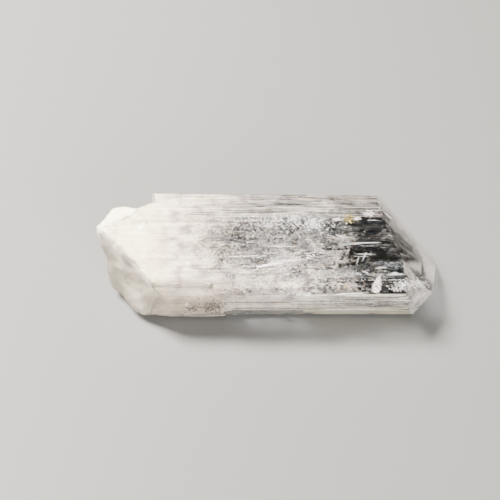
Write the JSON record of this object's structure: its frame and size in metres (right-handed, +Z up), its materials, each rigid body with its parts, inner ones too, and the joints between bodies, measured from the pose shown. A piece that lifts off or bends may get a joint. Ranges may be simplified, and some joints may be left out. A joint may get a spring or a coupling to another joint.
{
  "type": "danburite crystal",
  "caption": "Natural prismatic danburite crystal with a clear chisel-shaped tip and a milky broken base, lying on a long prism face.",
  "frame": {"origin": "middle of the crystal's box, at the level of the prism face that it lies on", "axes": "+X along the prism, from the broken base to the tip; +Y away from the broad sloping face; +Z up"},
  "size_m": [0.046, 0.0182, 0.0097],
  "materials": {
    "danburite": "glassy and see-through at the tip, veined in the middle, milky and frosted at the broken base"
  },
  "bodies": {
    "root": {"crystal": "danburite"}
  },
  "joints": []
}
